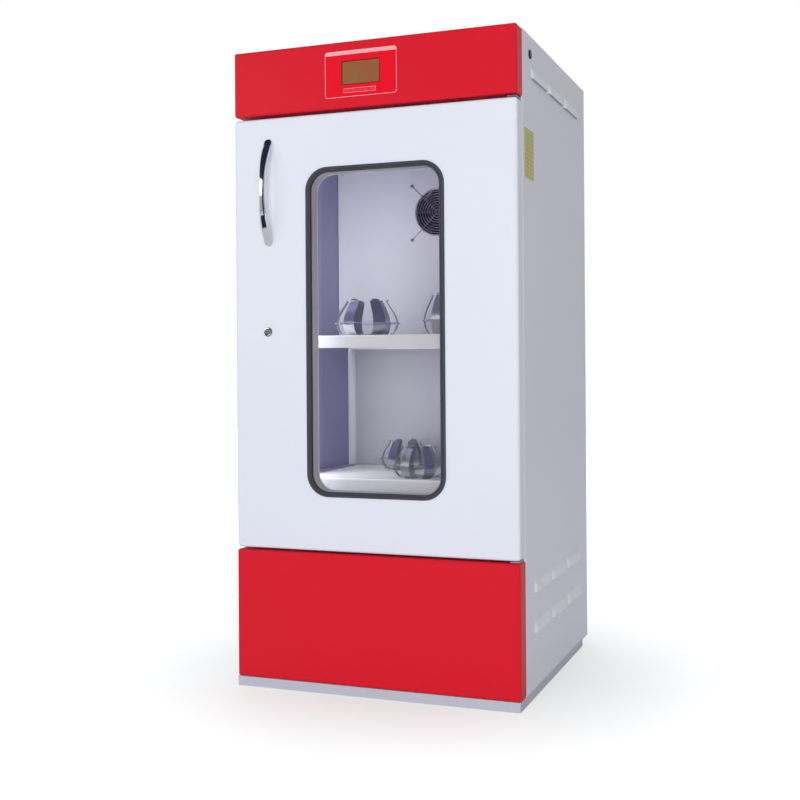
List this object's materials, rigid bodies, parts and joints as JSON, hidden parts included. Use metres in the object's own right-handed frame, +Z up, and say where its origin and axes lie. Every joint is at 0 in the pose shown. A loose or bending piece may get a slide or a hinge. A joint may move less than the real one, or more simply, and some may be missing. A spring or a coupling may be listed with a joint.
{
  "type": "orbital shaking incubator",
  "caption": "Floor-standing orbital shaking incubator with a glazed hinged door, two stacked flask trays on an orbiting carriage, circulation fan and cooling unit.",
  "frame": {"origin": "centre of the base's underside, on the floor", "axes": "+Z up, front of the cabinet faces -Y, +X to the viewer's right"},
  "size_m": [0.658, 0.692, 1.4],
  "materials": {
    "red_paint": "red powder coat, semi-gloss",
    "white_paint": "cool white powder coat, satin",
    "grey_paint": "light grey powder coat, satin",
    "foam": "rigid foam, matt",
    "chamber_enamel": "pale enamel, satin",
    "tray_enamel": "warm white enamel, satin",
    "black_rubber": "black rubber, matt",
    "seal_rubber": "grey rubber, matt",
    "clear_glass": "clear glass",
    "chrome": "polished chrome plate",
    "stainless": "brushed stainless",
    "machined_steel": "machined steel",
    "cast_iron": "painted casting",
    "aluminium": "mill finish",
    "black_plastic": "moulded, matt",
    "green_plastic": "moulded, glossy",
    "overlay_film": "printed film, satin",
    "display_glass": "unlit display",
    "machine_black": "black enamel",
    "motor_paint": "grey machine paint"
  },
  "bodies": {
    "cabinet": {"plinth": "grey_paint", "right_side_panel": "white_paint", "left_side_panel": "white_paint", "rear_panel": "grey_paint", "top_panel": "grey_paint", "lower_front_panel": "red_paint", "control_fascia": "red_paint", "drive_deck": "grey_paint", "chamber_insulation": "foam", "chamber_liner": "chamber_enamel", "air_duct_panel": "chamber_enamel", "circulation_fan_frame": "black_plastic", "fan_guard": "chrome", "ring_heater": "stainless", "evaporator_coil": "aluminium", "temperature_probe": "stainless", "main_bearing_housing": "cast_iron", "drive_motor": "motor_paint", "drive_belt": "black_rubber", "refrigerant_compressor": "machine_black", "condenser_coil": "aluminium", "control_overlay": "overlay_film", "display_module": "display_glass", "switch_bezel": "black_plastic", "mains_inlet": "black_plastic", "upper_hinge_bracket": "stainless", "lower_hinge_bracket": "stainless"},
    "door": {"door_skin": "white_paint", "window_gasket": "black_rubber", "window_front_glass": "clear_glass", "window_reveal": "white_paint", "window_rear_glass": "clear_glass", "door_inner_panel": "white_paint", "door_insulation": "foam", "door_seal": "seal_rubber", "door_handle": "chrome", "lock_body": "chrome"},
    "lock": {"lock_cylinder": "stainless"},
    "circulation_fan": {"circulation_fan_impeller": "black_plastic"},
    "condenser_fan": {"condenser_fan_blades": "machine_black"},
    "crankshaft": {"main_crankshaft": "machined_steel", "main_pulley": "aluminium"},
    "motor_rotor": {"motor_pulley": "machined_steel"},
    "left_idler": {"left_idler_crank": "machined_steel"},
    "right_idler": {"right_idler_crank": "machined_steel"},
    "front_idler": {"front_idler_crank": "machined_steel"},
    "carriage": {"carriage_frame": "machined_steel", "lower_tray": "tray_enamel", "upper_tray": "tray_enamel", "left_tray_brace": "tray_enamel", "right_tray_brace": "tray_enamel", "large_flask_clamp": "stainless", "tall_flask_clamp": "stainless", "front_small_flask_clamp": "stainless", "rear_small_flask_clamp": "stainless", "large_flask_clamp_spring": "chrome", "tall_flask_clamp_spring": "chrome", "front_small_flask_clamp_spring": "chrome", "rear_small_flask_clamp_spring": "chrome"},
    "rocker": {"power_rocker": "green_plastic"}
  },
  "joints": [
    {"name": "door_hinge", "type": "hinge", "parent": "cabinet", "child": "door", "pos_m": [0.311, -0.298, 0.7785], "axis": [0, 0, 1], "range_deg": [0, 120]},
    {"name": "lock_turn", "type": "hinge", "parent": "door", "child": "lock", "pos_m": [-0.242, -0.312, 0.781], "axis": [0, -1, 0], "range_deg": [0, 90]},
    {"name": "circulation_fan_spin", "type": "hinge", "parent": "cabinet", "child": "circulation_fan", "pos_m": [0, 0.1595, 1.085], "axis": [0, 1, 0], "continuous": true},
    {"name": "condenser_fan_spin", "type": "hinge", "parent": "cabinet", "child": "condenser_fan", "pos_m": [-0.13, 0.2872, 0.1357], "axis": [0, 1, 0], "continuous": true},
    {"name": "drive_spin", "type": "hinge", "parent": "cabinet", "child": "crankshaft", "pos_m": [0, -0.068, 0.3725], "axis": [0, 0, 1], "continuous": true},
    {"name": "carriage_pivot", "type": "hinge", "parent": "crankshaft", "child": "carriage", "pos_m": [0, -0.0555, 0.3835], "axis": [0, 0, 1], "continuous": true},
    {"name": "motor_spin", "type": "hinge", "parent": "cabinet", "child": "motor_rotor", "pos_m": [-0.185, -0.068, 0.214], "axis": [0, 0, 1], "continuous": true},
    {"name": "left_idler_spin", "type": "hinge", "parent": "cabinet", "child": "left_idler", "pos_m": [-0.19, 0.057, 0.3725], "axis": [0, 0, 1], "continuous": true},
    {"name": "right_idler_spin", "type": "hinge", "parent": "cabinet", "child": "right_idler", "pos_m": [0.19, 0.057, 0.3725], "axis": [0, 0, 1], "continuous": true},
    {"name": "front_idler_spin", "type": "hinge", "parent": "cabinet", "child": "front_idler", "pos_m": [0, -0.193, 0.3725], "axis": [0, 0, 1], "continuous": true},
    {"name": "power_rocker_tilt", "type": "hinge", "parent": "cabinet", "child": "rocker", "pos_m": [0.319, -0.206, 1.36], "axis": [0, 1, 0], "range_deg": [0, 9.74]}
  ],
  "couplings": [
    {"joint": "carriage_pivot", "follows": "drive_spin", "ratio": -1},
    {"joint": "motor_spin", "follows": "drive_spin", "ratio": 3.1667},
    {"joint": "left_idler_spin", "follows": "drive_spin", "ratio": 1},
    {"joint": "right_idler_spin", "follows": "drive_spin", "ratio": 1},
    {"joint": "front_idler_spin", "follows": "drive_spin", "ratio": 1}
  ]
}
